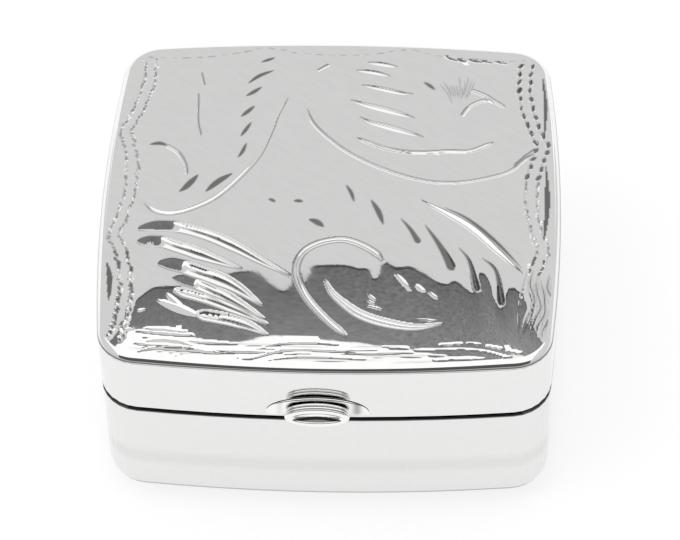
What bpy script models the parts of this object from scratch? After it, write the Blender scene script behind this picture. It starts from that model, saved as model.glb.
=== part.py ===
"""A pill box: a small square silver box with a crowned, hinged lid and an oval thumbpiece.

Sizes are in millimetres and are turned into metres as each mesh is made. X runs along the front, Y towards the
hinge and Z up. The origin is the middle of the underside, on the surface that the box stands on.

The walls follow one plan outline, a square whose sides bow outwards and whose corners are round. Every shell is a
section of (inset, height) points carried along that outline, where inset is the distance inwards from it.
The lid's pieces hang on an empty on the hinge's axis, which is let in a little behind the back wall's face.
"""

import math

import bmesh
import bpy
from mathutils import Vector

MM = 0.001

# The plan outline
BOX_WIDTH = 40.0
BOX_DEPTH = 38.6
SIDE_BOW = 1.1
CORNER_RADIUS = 3.6
SIDE_STEPS = 5
CORNER_STEPS = 6

# Heights
SEAM_Z = 12.0
LID_EDGE_Z = 18.5
CROWN_RISE = 1.1
CROWN_POWER_ACROSS = 8.0
CROWN_POWER_ALONG = 2.6

# Sheet and the gaps that keep the pieces apart
SHEET = 0.6
JOINT_GAP = 0.05
SEAM_GAP = 0.22

# Rounded edges
FOOT_ROLL = 2.6
LID_ROLL = 0.55
RIM_ROUND = 0.2

# The lip inside the base, which the lid closes over
BEZEL_INSET = 0.72
BEZEL_SHEET = 0.48
BEZEL_LOW_Z = 7.5
BEZEL_TOP_Z = 14.0
BEZEL_END_X = 13.3

# The hinge
HINGE_HALF_LENGTH = 12.5
HINGE_LET_IN = 0.57
BARREL_RADIUS = 0.9
BARREL_BORE_RADIUS = 0.5
PIN_RADIUS = 0.44
KNUCKLES = 5
KNUCKLE_GAP = 0.1
GROOVE_RADIUS = 1.0
GROOVE_HALF_LENGTH = 12.6
BEARER_HALF_LENGTH = 12.9
BEARER_INNER_Y = 16.7
BEARER_HEIGHT = 2.3
ROUND_SIDES = 24

# The thumbpiece on the lid's front wall
THUMB_CENTRE_X = -0.55
THUMB_PLATE_SHEET = 0.25
THUMB_PLATE_HALF_WIDTH = 4.35
THUMB_PLATE_LOW_Z = 12.25
THUMB_PLATE_TIP_Z = 12.55
THUMB_PLATE_TOP_Z = 14.75
THUMB_PLATE_STEPS = 28
BUTTON_CENTRE_Z = 13.48
BUTTON_HALF_WIDTH = 2.8
BUTTON_HALF_HEIGHT = 1.24
BUTTON_STANDS_OUT = 1.27
BUTTON_HEAD_THICKNESS = 0.78
BUTTON_RIM = 0.6
BUTTON_DISH = 0.4
NECK_HALF_WIDTH = 1.65
BUTTON_SIDES = 40

HALF_WIDTH = BOX_WIDTH / 2
HALF_DEPTH = BOX_DEPTH / 2
HINGE_AXIS = Vector((0.0, HALF_DEPTH - HINGE_LET_IN, SEAM_Z))
BASE_RIM_Z = SEAM_Z - SEAM_GAP / 2
LID_RIM_Z = SEAM_Z + SEAM_GAP / 2


def bow_radius(half_side):
    """The radius of a side that bows out by SIDE_BOW at its middle and spans half_side each way."""
    reach = half_side - SIDE_BOW
    return (reach**2 + SIDE_BOW**2) / (2 * SIDE_BOW)


def corner_centre():
    """The centre of the round corner at +X, +Y, which meets both bowed sides smoothly, with those sides' centres."""
    back_radius, side_radius = bow_radius(HALF_WIDTH), bow_radius(HALF_DEPTH)
    back_centre = Vector((0.0, HALF_DEPTH - back_radius))
    side_centre = Vector((HALF_WIDTH - side_radius, 0.0))
    to_back, to_side = back_radius - CORNER_RADIUS, side_radius - CORNER_RADIUS
    between = side_centre - back_centre
    along = (to_back**2 - to_side**2 + between.length_squared) / (2 * between.length)
    across = math.sqrt(to_back**2 - along**2)
    direction = between.normalized()
    centre = back_centre + direction * along + Vector((direction.y, -direction.x)) * across
    return centre, back_centre, side_centre


def steps_between(first, last, count):
    return [first + (last - first) * i / count for i in range(count + 1)]


def outline_stations():
    """The outline as (centre, radius, angle) stations, anticlockwise from +X. A station gives a point at any inset."""
    corner, back_centre, side_centre = corner_centre()
    side_turn = math.atan2(corner.y - side_centre.y, corner.x - side_centre.x)
    back_turn = math.atan2(corner.y - back_centre.y, corner.x - back_centre.x)
    side_radius, back_radius = bow_radius(HALF_DEPTH), bow_radius(HALF_WIDTH)
    quarter = [(side_centre, side_radius, a) for a in steps_between(0.0, side_turn, SIDE_STEPS)]
    quarter += [(corner, CORNER_RADIUS, a) for a in steps_between(side_turn, back_turn, CORNER_STEPS)[1:]]
    quarter += [(back_centre, back_radius, a) for a in steps_between(back_turn, math.pi / 2, SIDE_STEPS)[1:]]
    stations = []
    for flip_x, flip_y in ((1, 1), (-1, 1), (-1, -1), (1, -1)):
        part = quarter[:-1] if flip_x * flip_y > 0 else quarter[:0:-1]
        for centre, radius, angle in part:
            turned = math.atan2(flip_y * math.sin(angle), flip_x * math.cos(angle))
            stations.append((Vector((flip_x * centre.x, flip_y * centre.y)), radius, turned))
    return stations


def at_inset(station, inset):
    centre, radius, angle = station
    return centre + Vector((math.cos(angle), math.sin(angle))) * (radius - inset)


def wall_y(x, inset):
    """How far the front and back walls stand from the middle at x, at an inset."""
    radius = bow_radius(HALF_WIDTH)
    return HALF_DEPTH - radius + math.sqrt((radius - inset) ** 2 - x**2)


def clear_scene():
    for item in list(bpy.data.objects):
        bpy.data.objects.remove(item)


def silver(name, shade, roughness):
    material = bpy.data.materials.new(name)
    material.use_nodes = True
    surface = material.node_tree.nodes["Principled BSDF"]
    surface.inputs["Base Color"].default_value = (shade, shade, shade * 0.985, 1.0)
    surface.inputs["Metallic"].default_value = 1.0
    surface.inputs["Roughness"].default_value = roughness
    return material


def new_empty(name, place):
    empty = bpy.data.objects.new(name, None)
    empty.location = place * MM
    bpy.context.scene.collection.objects.link(empty)
    return empty


def add_piece(name, points, faces, material=None, parent=None, origin=Vector()):
    """A mesh object from points in the box's frame, with its own origin, parented to an empty if one is given."""
    mesh = bpy.data.meshes.new(name)
    mesh.from_pydata([(Vector(point) - origin) * MM for point in points], [], faces)
    solid = bmesh.new()
    solid.from_mesh(mesh)
    bmesh.ops.recalc_face_normals(solid, faces=solid.faces)
    if solid.calc_volume(signed=True) < 0:
        bmesh.ops.reverse_faces(solid, faces=solid.faces)
    solid.to_mesh(mesh)
    solid.free()
    mesh.shade_smooth()
    mesh.set_sharp_from_angle(angle=math.radians(35))
    if material:
        mesh.materials.append(material)
    piece = bpy.data.objects.new(name, mesh)
    bpy.context.scene.collection.objects.link(piece)
    if parent:
        piece.parent = parent
        piece.location = origin * MM - parent.location
    else:
        piece.location = origin * MM
    return piece


def bridge(rings, closed_rings):
    """The quads between rings of equally many points, numbered ring after ring."""
    count = len(rings[0])
    last = count if closed_rings else count - 1
    return [
        (r * count + i, r * count + (i + 1) % count, (r + 1) * count + (i + 1) % count, (r + 1) * count + i)
        for r in range(len(rings) - 1)
        for i in range(last)
    ]


def capped(rings):
    """(points, faces) of a solid whose closed rings run from one flat cap to the other."""
    count = len(rings[0])
    faces = bridge(rings, True)
    faces.append(tuple(range(count)))
    faces.append(tuple(range((len(rings) - 1) * count, len(rings) * count)))
    return [point for ring in rings for point in ring], faces


def outline_ring(inset, z):
    return [(*at_inset(station, inset), z) for station in outline_stations()]


def swept_strip(section, stations, closed):
    """(points, faces) of a closed (inset, z) section carried along stations, with end caps if it isn't closed."""
    rings = [[(*at_inset(station, inset), z) for inset, z in section] for station in stations]
    if closed:
        rings.append(rings[0])
    points = [point for ring in rings for point in ring]
    faces = bridge(rings, True)
    if not closed:
        count = len(section)
        faces.append(tuple(range(count)))
        faces.append(tuple(range(len(points) - count, len(points))))
        return points, faces
    kept = len(points) - len(section)
    return points[:kept], [tuple(i % kept for i in face) for face in faces]


def arc(centre, radius, first, last, count):
    """(inset, z) points on an arc, by angles in degrees from the inset direction."""
    return [
        (centre[0] + radius * math.cos(math.radians(a)), centre[1] + radius * math.sin(math.radians(a)))
        for a in steps_between(first, last, count)
    ]


def cut(piece, cutter):
    modifier = piece.modifiers.new("cut_by_" + cutter.name, "BOOLEAN")
    modifier.operation = "DIFFERENCE"
    modifier.solver = "EXACT"
    modifier.object = cutter


def cylinder_x(x_low, x_high, radius, sides, turn=0.0):
    """Two rings round the hinge's axis, from x_low to x_high."""
    return [
        [
            (
                x,
                HINGE_AXIS.y + radius * math.cos(turn + 2 * math.pi * i / sides),
                HINGE_AXIS.z + radius * math.sin(turn + 2 * math.pi * i / sides),
            )
            for i in range(sides)
        ]
        for x in (x_low, x_high)
    ]


def hinge_groove():
    """The cutter that lets the barrel into the walls and the bearers."""
    cutter = add_piece(
        "hinge_groove_cutter", *capped(cylinder_x(-GROOVE_HALF_LENGTH, GROOVE_HALF_LENGTH, GROOVE_RADIUS, 32))
    )
    cutter.hide_render = True
    cutter.display_type = "WIRE"
    return cutter


def base_tray(material, groove):
    """The drawn lower shell: a flat floor, a rolled foot and a wall up to the seam with a rounded rim."""
    outer_foot = arc((FOOT_ROLL, FOOT_ROLL), FOOT_ROLL, 270, 180, 6)
    outer_rim = arc((RIM_ROUND, BASE_RIM_Z - RIM_ROUND), RIM_ROUND, 180, 90, 3)
    inner_foot = arc((FOOT_ROLL, FOOT_ROLL), FOOT_ROLL - SHEET, 180, 270, 6)
    profile = outer_foot + outer_rim + [(SHEET, BASE_RIM_Z)] + inner_foot
    piece = add_piece("base_tray", *capped([outline_ring(*point) for point in profile]), material)
    cut(piece, groove)


def base_bezel(material):
    """The lip soldered inside the base. It runs round three sides and stops short of the hinge."""
    back_radius = bow_radius(HALF_WIDTH)
    end_turn = math.acos(BEZEL_END_X / (back_radius - BEZEL_INSET - BEZEL_SHEET / 2))
    back_centre = Vector((0.0, HALF_DEPTH - back_radius))
    stations = outline_stations()
    kept = [s for s in stations if not (s[0].y + s[1] * math.sin(s[2]) > 0 and abs(at_inset(s, 1.0).x) < BEZEL_END_X)]
    first = next(i for i, s in enumerate(kept) if at_inset(s, 0).y > 0 and at_inset(s, 0).x < 0)
    path = kept[first:] + kept[:first]
    ends = [(back_centre, back_radius, math.pi - end_turn), (back_centre, back_radius, end_turn)]
    inner = BEZEL_INSET + BEZEL_SHEET
    lead_in = BEZEL_SHEET / 3
    section = [
        (BEZEL_INSET, BEZEL_LOW_Z),
        (BEZEL_INSET, BEZEL_TOP_Z - lead_in),
        (BEZEL_INSET + lead_in, BEZEL_TOP_Z),
        (inner - lead_in / 2, BEZEL_TOP_Z),
        (inner, BEZEL_TOP_Z - lead_in / 2),
        (inner, BEZEL_LOW_Z),
    ]
    add_piece("base_bezel", *swept_strip(section, [ends[0], *path, ends[1]], False), material)


def lid_band(material, groove, hinge):
    """The lid's side wall, from its rounded rim at the seam up to the top panel."""
    top_z = LID_EDGE_Z - LID_ROLL - JOINT_GAP
    outer_rim = arc((RIM_ROUND, LID_RIM_Z + RIM_ROUND), RIM_ROUND, 270, 180, 3)
    section = [(SHEET, LID_RIM_Z), *outer_rim, (0.0, top_z), (SHEET, top_z)]
    shape = swept_strip(section, outline_stations(), True)
    piece = add_piece("lid_band", *shape, material, hinge, HINGE_AXIS)
    cut(piece, groove)


def crown_rise(x, y):
    """The height of a pillow that is flat at its middle, before it is brought to nothing at the panel's edge."""
    across = 1 - abs(x / HALF_WIDTH) ** CROWN_POWER_ACROSS
    along = 1 - abs(y / HALF_DEPTH) ** CROWN_POWER_ALONG
    return CROWN_RISE * across * along


def crown_rings(inset, z, shares):
    """Rings of the outline at an inset, drawn in towards the middle by each share and lifted to the crown."""
    edge = [at_inset(station, inset) for station in outline_stations()]
    return [
        [
            (p.x * share, p.y * share, z + crown_rise(p.x * share, p.y * share) - share**4 * crown_rise(p.x, p.y))
            for p in edge
        ]
        for share in shares
    ]


def lid_top_panel(material, hinge):
    """The crowned top of the lid, with a rolled edge that meets the band."""
    low_z = LID_EDGE_Z - LID_ROLL
    shares = [1.0, 0.97, 0.94, 0.9, 0.85, 0.79, 0.72, 0.62, 0.48, 0.3, 0.04]
    roll = [outline_ring(*point) for point in arc((LID_ROLL, low_z), LID_ROLL, 180, 90, 5)][:-1]
    top = crown_rings(LID_ROLL, LID_EDGE_Z, shares)
    under = crown_rings(SHEET + JOINT_GAP, LID_EDGE_Z - SHEET, shares)
    under_edge = outline_ring(SHEET + JOINT_GAP, low_z)
    rings = [*reversed(top), *reversed(roll), under_edge, *under]
    add_piece("lid_top_panel", *capped(rings), material, hinge, HINGE_AXIS)


def hinge_bearer(name, z_low, z_high, material, groove, parent=None):
    """A strip inside the back wall that carries the knuckles, hollowed to fit the barrel."""
    origin = HINGE_AXIS if parent else Vector()
    steps = steps_between(-BEARER_HALF_LENGTH, BEARER_HALF_LENGTH, 12)
    back = [(x, wall_y(x, SHEET + JOINT_GAP)) for x in steps]
    plan = back + [(BEARER_HALF_LENGTH, BEARER_INNER_Y), (-BEARER_HALF_LENGTH, BEARER_INNER_Y)]
    rings = [[(x, y, z) for x, y in plan] for z in (z_low, z_high)]
    cut(add_piece(name, *capped(rings), material, parent, origin), groove)


def knuckles(material, hinge):
    """The barrel's tubes in turn: the odd ones belong to the base and the even ones to the lid."""
    length = 2 * HINGE_HALF_LENGTH / KNUCKLES
    names = ["base_knuckle_left", "lid_knuckle_left", "base_knuckle_middle", "lid_knuckle_right", "base_knuckle_right"]
    for i, name in enumerate(names):
        low = -HINGE_HALF_LENGTH + i * length + KNUCKLE_GAP / 2
        high = low + length - KNUCKLE_GAP
        outer = cylinder_x(low, high, BARREL_RADIUS, ROUND_SIDES)
        bore = cylinder_x(low, high, BARREL_BORE_RADIUS, ROUND_SIDES)
        rings = [outer[0], outer[1], bore[1], bore[0], outer[0]]
        points = [point for ring in rings[:-1] for point in ring]
        faces = [tuple(i % len(points) for i in face) for face in bridge(rings, True)]
        turning = name.startswith("lid")
        add_piece(name, points, faces, material, hinge if turning else None, HINGE_AXIS)


def hinge_pin(material):
    rings = cylinder_x(-HINGE_HALF_LENGTH, HINGE_HALF_LENGTH, PIN_RADIUS, ROUND_SIDES)
    add_piece("hinge_pin", *capped(rings), material, None, HINGE_AXIS)


def thumb_plate_top(reach):
    """The plate's upper edge at a distance from its middle: half an oval, with a little height left at each tip."""
    rise = THUMB_PLATE_TOP_Z - THUMB_PLATE_TIP_Z
    return THUMB_PLATE_TIP_Z + rise * math.sqrt(max(0.0, 1 - (reach / THUMB_PLATE_HALF_WIDTH) ** 2))


def thumb_plate(material, hinge):
    """The flange with two shoulders that fixes the thumbpiece to the lid's front wall, curved with the wall."""
    rings = []
    for turn in steps_between(math.pi, 0.0, THUMB_PLATE_STEPS):
        reach = THUMB_PLATE_HALF_WIDTH * math.cos(turn)
        x = THUMB_CENTRE_X + reach
        back, front = -wall_y(x, -JOINT_GAP), -wall_y(x, -JOINT_GAP - THUMB_PLATE_SHEET)
        low, high = THUMB_PLATE_LOW_Z, thumb_plate_top(reach)
        rings.append([(x, back, low), (x, front, low), (x, front, high), (x, back, high)])
    add_piece("thumb_plate", *capped(rings), material, hinge, HINGE_AXIS)


def button_ring(half_width, half_height, y):
    turns = [2 * math.pi * i / BUTTON_SIDES for i in range(BUTTON_SIDES)]
    return [
        (THUMB_CENTRE_X + half_width * math.cos(a), y, BUTTON_CENTRE_Z + half_height * math.sin(a)) for a in turns
    ]


def thumb_button(material, hinge):
    """The oval button on its neck, with a raised rim round a dished face."""
    root_y = -HALF_DEPTH - THUMB_PLATE_SHEET - 2 * JOINT_GAP
    face_y = -HALF_DEPTH - BUTTON_STANDS_OUT
    back_y = face_y + BUTTON_HEAD_THICKNESS
    neck_half_height = BUTTON_HALF_HEIGHT * 0.55
    soften = 0.12

    def head(inset, y):
        return button_ring(BUTTON_HALF_WIDTH - inset, BUTTON_HALF_HEIGHT - inset, y)

    def dished(share):
        half_width, half_height = BUTTON_HALF_WIDTH - BUTTON_RIM, BUTTON_HALF_HEIGHT - BUTTON_RIM
        return button_ring(half_width * share, half_height * share, face_y + BUTTON_DISH * (1 - share**2))

    rings = [
        button_ring(NECK_HALF_WIDTH, neck_half_height, root_y),
        button_ring(NECK_HALF_WIDTH, neck_half_height, back_y),
        head(soften, back_y),
        head(0, back_y - soften),
        head(0, face_y + soften),
        head(soften, face_y),
        dished(1.0),
        dished(0.75),
        dished(0.5),
        dished(0.25),
        dished(0.05),
    ]
    add_piece("thumb_button", *capped(rings), material, hinge, HINGE_AXIS)


def main():
    clear_scene()
    wall_silver = silver("polished_silver", 0.9, 0.06)
    engraved = silver("engraved_silver", 0.9, 0.07)
    inner_silver = silver("satin_silver", 0.85, 0.3)
    barrel_silver = silver("barrel_silver", 0.84, 0.16)
    pin_wire = silver("pin_wire", 0.7, 0.25)
    thumb_silver = silver("thumbpiece_silver", 0.88, 0.1)

    hinge = new_empty("lid_on_hinge", HINGE_AXIS)
    groove = hinge_groove()
    base_tray(wall_silver, groove)
    base_bezel(inner_silver)
    lid_band(wall_silver, groove, hinge)
    lid_top_panel(engraved, hinge)
    bearer_low = SEAM_Z - JOINT_GAP - BEARER_HEIGHT
    hinge_bearer("base_hinge_bearer", bearer_low, SEAM_Z - JOINT_GAP, inner_silver, groove)
    lid_low = SEAM_Z + JOINT_GAP
    hinge_bearer("lid_hinge_bearer", lid_low, lid_low + BEARER_HEIGHT, inner_silver, groove, hinge)
    knuckles(barrel_silver, hinge)
    hinge_pin(pin_wire)
    thumb_plate(thumb_silver, hinge)
    thumb_button(thumb_silver, hinge)


main()
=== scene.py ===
"""Looks for the silver pill box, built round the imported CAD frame.

Lengths are in millimetres until a mesh is made. X runs along the front, Y towards the hinge and Z up.
The lid's engraving is real geometry: a fine lattice over the top, lowered by each cut of the graver.
"""

import math

import bpy
import numpy as np
from mathutils import Matrix, Vector


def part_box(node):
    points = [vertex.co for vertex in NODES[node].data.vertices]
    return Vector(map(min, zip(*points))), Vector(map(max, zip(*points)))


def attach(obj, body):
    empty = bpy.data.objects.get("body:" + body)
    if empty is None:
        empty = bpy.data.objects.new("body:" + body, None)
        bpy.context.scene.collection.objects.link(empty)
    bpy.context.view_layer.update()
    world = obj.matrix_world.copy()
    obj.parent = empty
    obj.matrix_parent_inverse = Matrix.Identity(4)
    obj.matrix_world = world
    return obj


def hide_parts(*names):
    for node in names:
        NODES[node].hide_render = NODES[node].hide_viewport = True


MM = 0.001

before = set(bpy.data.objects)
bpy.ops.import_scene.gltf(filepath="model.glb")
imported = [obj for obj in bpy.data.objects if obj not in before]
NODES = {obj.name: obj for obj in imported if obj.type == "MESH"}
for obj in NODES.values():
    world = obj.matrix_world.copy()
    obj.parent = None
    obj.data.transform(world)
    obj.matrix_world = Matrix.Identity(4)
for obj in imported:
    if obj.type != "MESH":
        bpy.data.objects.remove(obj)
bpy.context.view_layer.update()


def node_box(name):
    low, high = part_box(name)
    return np.array(low) / MM, np.array(high) / MM


# The box's own sizes, from the frame
PANEL_HIGH = node_box("lid_top_panel")[1]
HALF_WIDTH = float(PANEL_HIGH[0])
HALF_DEPTH = float(PANEL_HIGH[1])
SIDE_BOW = 1.1
CORNER_RADIUS = 3.6
# How far short of each side's ends the border stops
CORNER_REACH = 2.6
LID_EDGE_Z = 18.5
LID_ROLL = 0.55
SHEET = 0.6
JOINT_GAP = 0.05
ROLL_Z = LID_EDGE_Z - LID_ROLL
INNER_Z = ROLL_Z - JOINT_GAP
CROWN_RISE = float(PANEL_HIGH[2]) - LID_EDGE_Z
CROWN_POWER_ACROSS = 8.0
CROWN_POWER_ALONG = 2.6

# The camera: a long lens, well above the front, a little to the right of square on
CAMERA_ELEVATION = math.radians(48.7)
CAMERA_AZIMUTH = math.radians(3.3)
CAMERA_ROLL = math.radians(-1.7)
CAMERA_DISTANCE = 301.4
CAMERA_TARGET = np.array([0, 0, 9.24])
CAMERA_BACK = np.array([
    math.sin(CAMERA_AZIMUTH) * math.cos(CAMERA_ELEVATION),
    -math.cos(CAMERA_AZIMUTH) * math.cos(CAMERA_ELEVATION),
    math.sin(CAMERA_ELEVATION),
])
CAMERA_AT = CAMERA_TARGET + CAMERA_BACK * CAMERA_DISTANCE
SENSOR_WIDTH = 36
LENS_LENGTH = 179.1
LENS_SHIFT = (0.0103, -0.0017)

# The arch of cards that the silver reflects: a half cylinder along X over the box
ARCH_RADIUS = 900.0
ARCH_HALF_WIDTH = 900.0
ARCH_Z = 20.0


# ---- the plan outline


def bow_radius(half_side):
    reach = half_side - SIDE_BOW
    return (reach**2 + SIDE_BOW**2) / (2 * SIDE_BOW)


BACK_RADIUS = bow_radius(HALF_WIDTH)
SIDE_RADIUS = bow_radius(HALF_DEPTH)
BACK_CENTRE = np.array([0.0, HALF_DEPTH - BACK_RADIUS])
SIDE_CENTRE = np.array([HALF_WIDTH - SIDE_RADIUS, 0.0])


def corner_centre():
    to_back, to_side = BACK_RADIUS - CORNER_RADIUS, SIDE_RADIUS - CORNER_RADIUS
    between = SIDE_CENTRE - BACK_CENTRE
    length = np.linalg.norm(between)
    along = (to_back**2 - to_side**2 + length**2) / (2 * length)
    across = math.sqrt(to_back**2 - along**2)
    direction = between / length
    return BACK_CENTRE + direction * along + np.array([direction[1], -direction[0]]) * across


CORNER = corner_centre()
SIDE_TURN = math.atan2(*(CORNER - SIDE_CENTRE)[::-1])
BACK_TURN = math.atan2(*(CORNER - BACK_CENTRE)[::-1])


def inset_and_outward(x, y):
    """How far inside the outline each point is, and the unit vector from it to the outline."""
    ax, ay = np.abs(x), np.abs(y)
    side = np.stack([ax - SIDE_CENTRE[0], ay - SIDE_CENTRE[1]])
    back = np.stack([ax - BACK_CENTRE[0], ay - BACK_CENTRE[1]])
    corner = np.stack([ax - CORNER[0], ay - CORNER[1]])
    side_far, back_far, corner_far = (np.maximum(np.hypot(*v), 1e-9) for v in (side, back, corner))
    side_in, back_in = SIDE_RADIUS - side_far, BACK_RADIUS - back_far
    turn = np.arctan2(corner[1], corner[0])
    in_corner = (turn > SIDE_TURN) & (turn < BACK_TURN) & (corner[0] > 0) & (corner[1] > 0)
    nearer_side = side_in < back_in
    inset = np.where(in_corner, CORNER_RADIUS - corner_far, np.where(nearer_side, side_in, back_in))
    out = np.where(in_corner, corner / corner_far, np.where(nearer_side, side / side_far, back / back_far))
    return inset, out[0] * np.sign(x + (x == 0)), out[1] * np.sign(y + (y == 0))


def crown(x, y):
    across = 1 - np.minimum(np.abs(x / HALF_WIDTH), 1) ** CROWN_POWER_ACROSS
    along = 1 - np.minimum(np.abs(y / HALF_DEPTH), 1) ** CROWN_POWER_ALONG
    return CROWN_RISE * across * along


def mirrored(x, y):
    """Where the camera sees the arch, mirrored by the uncut crown: how far across, and degrees round."""
    x, y = np.asarray(x, float), np.asarray(y, float)
    h = 0.05
    slope_x = (crown(x + h, y) - crown(x - h, y)) / (2 * h)
    slope_y = (crown(x, y + h) - crown(x, y - h)) / (2 * h)
    normal = np.stack([-slope_x, -slope_y, np.ones_like(x)])
    normal /= np.linalg.norm(normal, axis=0)
    at = np.stack([x, y, LID_EDGE_Z + crown(x, y)])
    ray = at - CAMERA_AT.reshape(3, *[1] * x.ndim)
    ray /= np.linalg.norm(ray, axis=0)
    ray -= 2 * (ray * normal).sum(0) * normal
    up = at[2] - ARCH_Z
    a = ray[1] ** 2 + ray[2] ** 2
    b = at[1] * ray[1] + up * ray[2]
    far = (-b + np.sqrt(b**2 - a * (at[1] ** 2 + up**2 - ARCH_RADIUS**2))) / a
    hit = at + far * ray
    return hit[0], np.degrees(np.arctan2(hit[2] - ARCH_Z, hit[1]))


def rolled(inset, roll):
    """The height gained over a rolled edge, from nothing at the outline to roll at an inset of roll."""
    return np.sqrt(np.maximum(roll**2 - (roll - np.clip(inset, 0, roll)) ** 2, 0))


# ---- the engraving


def smooth_line(points, step=0.25):
    """A Catmull-Rom curve through the points, resampled at about step, with shares of its length."""
    p = np.array(points, float)
    if len(p) > 2:
        ends = [2 * p[0] - p[1], *p, 2 * p[-1] - p[-2]]
        out = []
        for a, b, c, d in zip(ends, ends[1:], ends[2:], ends[3:]):
            t = np.linspace(0, 1, 9)[:-1, None]
            bend = (2 * a - 5 * b + 4 * c - d) * t**2
            out.append(0.5 * (2 * b + (c - a) * t + bend + (3 * b - a - 3 * c + d) * t**3))
        p = np.concatenate([*out, p[-1:]])
    far = np.concatenate([[0], np.cumsum(np.hypot(*np.diff(p, axis=0).T))])
    count = max(2, int(math.ceil(far[-1] / step)) + 1)
    at = np.linspace(0, far[-1], count)
    return np.stack([np.interp(at, far, p[:, 0]), np.interp(at, far, p[:, 1])], 1), at / far[-1]


def lens(t):
    """A cut that swells from nothing and runs out again."""
    return np.sin(np.pi * np.clip(t, 0, 1)) ** 0.75


def flare(t):
    """A cut that is broad from near its start to two thirds, then runs out to a point."""
    return np.minimum(1, np.sqrt(np.clip(t, 0, 1) * 9)) * np.minimum(1, np.clip(1 - t, 0, 1) * 2.3) ** 0.8


def swell(t):
    """A cut that starts as a hairline and swells into a rounded end."""
    left = np.clip(1 - t, 0, 1)
    return np.minimum(1, np.sqrt(left * 12)) * (1 - left) ** 0.7


def even(t):
    """A line of nearly even width with short run-outs."""
    return np.minimum(1, np.minimum(t, 1 - t) * 14 + 0.15)


def soft_step(t, low, high):
    t = np.clip((t - low) / (high - low), 0, 1)
    return t * t * (3 - 2 * t)


# The edges of the dark strip as the lid mirrors it: points on the lid from left to right
DARK_BEGINS = [
    (-16.5, -14), (-15.9, -12.4), (-14.5, -11.1), (-12.5, -11), (-11, -10.6), (-9.5, -10), (-7, -9.3),
    (-6, -9.5), (-4.4, -11), (-3.6, -11.4), (-3, -10.6), (-2.7, -9.3), (-2.2, -9.3), (-1.8, -10.5),
    (-1.4, -9.4), (-1, -8.6), (1.5, -8.5), (2.5, -8.8), (3.5, -8.9), (3.8, -9.8), (4.3, -9.8),
    (4.6, -8.6), (5, -8.1), (5.8, -8.6), (7, -8.6), (8, -9.1), (9.5, -10.2), (10.3, -10.4), (11, -10.1),
    (12.3, -11.3), (12.8, -10.6), (13, -9.2), (13.6, -9.6), (14.3, -12.2), (14.8, -12.9), (15, -12.2),
    (15.6, -10.6), (16.6, -11.2),
]
DARK_ENDS = [
    (-16.2, -15.4), (-15, -15.6), (-13.6, -15.5), (-12, -15.9), (-10.6, -16.4), (-9.4, -16.9), (-8, -16.8),
    (-6.6, -16.6), (-5.4, -16.2), (-4, -16), (-2, -16.2), (0, -16.3), (2, -16.5), (4.7, -16.9), (6.4, -17),
    (7.4, -17.2), (8.5, -17.4), (9.4, -17.7), (9.9, -18.1), (10.6, -18.4), (12.3, -18.5), (13.9, -18.6),
    (15.6, -18.4), (16.8, -17.8),
]
# The strip's two ends: where they are seen on the lid, and its edges' elevations past them
DARK_LEFT_X = -16.7
DARK_RIGHT_X = 17.3
DARK_END_Y = -14
BEGINS_BEYOND = 54.0
ENDS_BEYOND = 62.5
BEYOND_REACH = 60


def edge_of(points, beyond):
    """A card's edge as (across, elevation), from the points on the lid where the camera sees it."""
    line = smooth_line(points, 0.2)[0]
    across, elevation = mirrored(line[:, 0], line[:, 1])
    order = np.argsort(across)
    across, elevation = across[order], elevation[order]
    places = np.array([across[0] - BEYOND_REACH, *across, across[-1] + BEYOND_REACH])
    return places, np.array([beyond, *elevation, beyond])


BEGINS_AT = edge_of(DARK_BEGINS, BEGINS_BEYOND)
ENDS_AT = edge_of(DARK_ENDS, ENDS_BEYOND)


def dark_edges(x, y):
    """The elevations of the dark strip's edges, where the uncut lid would mirror the arch at a point."""
    across = mirrored(x, y)[0]
    return np.interp(across, *BEGINS_AT), np.interp(across, *ENDS_AT)


def dark_elevation(x, y):
    begins, ends = dark_edges(x, y)
    return (begins + ends) / 2


def fine_line(far):
    """The weight of a soft line of LINE_WIDTH along where far is nothing."""
    return np.clip(1 - np.abs(far) / (LINE_WIDTH / 2), 0, 1)


# Elevations, in degrees over the back horizon, of grey parts of the arch and of its low and high white parts
GREY_AT = 44
DENT_GREY_AT = 46
LOW_WHITE_AT = 17
HIGH_WHITE_AT = 76

# A facet's least and greatest tilt, in degrees, and how far past its cut the lattice is searched
LEAST_TILT = 2.0
MOST_TILT = 24.0
SEARCH_REACH = 0.2
LINE_WIDTH = 0.2
# How dark each kind of cut is painted along its edges or over its floor: painted shade and dark reflection, with
# some tarnish in the cuts
CUT_SHADES = {
    "leaf": 0.76, "sliver": 0.8, "feather": 0.7, "scroll": 0.8, "flame": 0.6, "crescent": 0.6, "wedge": 0.6,
}
# The painted dark reflection down the core of a flame or wedge
CORE_SHADE = 0.72
# How much of its width a dent bends over its length
DENT_BEND = 0.2


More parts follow.
